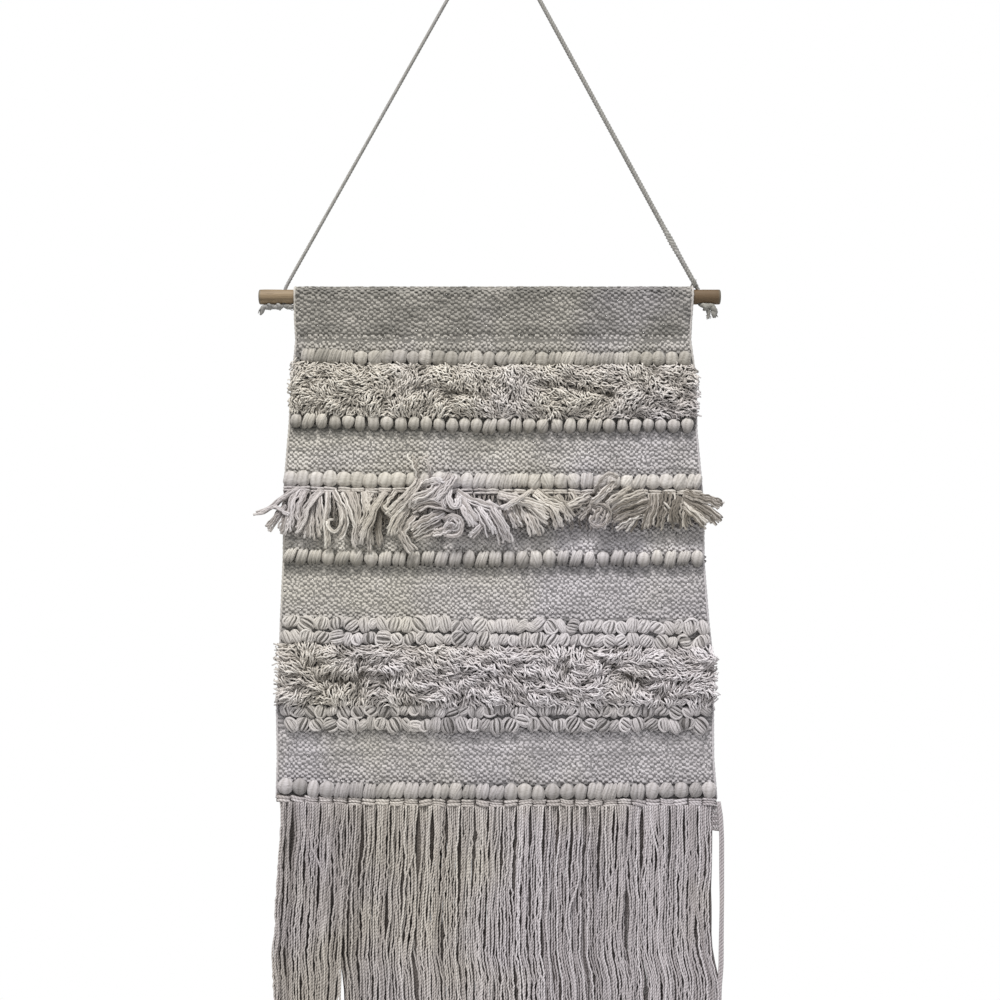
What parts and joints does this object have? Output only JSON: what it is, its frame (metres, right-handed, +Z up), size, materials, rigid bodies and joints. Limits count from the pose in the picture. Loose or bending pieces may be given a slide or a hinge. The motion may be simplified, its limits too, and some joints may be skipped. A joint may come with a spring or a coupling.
{
  "type": "macrame wall hanging on wooden rod",
  "caption": "Flat woven cotton panel on a wooden rod, with corded rows, two bands of pile, a short fringe across the middle, a long fringe at the foot and a hanging cord.",
  "frame": {"origin": "the point where the hanging cord rests on its nail or hook", "axes": "+Z up, +X to the right along the rod as seen from the front, the front faces -Y"},
  "size_m": [0.4678, 0.042, 1.1637],
  "materials": {
    "rod": "turned pale hardwood, bare, lightly aged",
    "cord": "loosely twisted cotton cord, matt",
    "ground_cloth": "weft-faced plain weave of soft cotton yarn, matt",
    "roving": "thick soft unspun cotton roving",
    "pile_yarn": "twisted cotton yarn, looped and cut to a shaggy pile",
    "fringe_yarn": "two-ply cotton yarn, cut and slightly frayed"
  },
  "bodies": {
    "root": {"rod": "rod", "hanging_cord": "cord", "cord_knot_left": "cord", "cord_knot_right": "cord", "cloth": "ground_cloth", "roving_row_1": "roving", "roving_row_2": "roving", "roving_row_3": "roving", "roving_row_4": "roving", "roving_row_5": "roving", "loop_row_1": "pile_yarn", "loop_row_2": "pile_yarn", "loop_row_3": "pile_yarn", "loop_row_4": "pile_yarn", "shag_upper": "pile_yarn", "shag_lower": "pile_yarn", "middle_fringe": "fringe_yarn", "long_fringe": "fringe_yarn"}
  },
  "joints": []
}
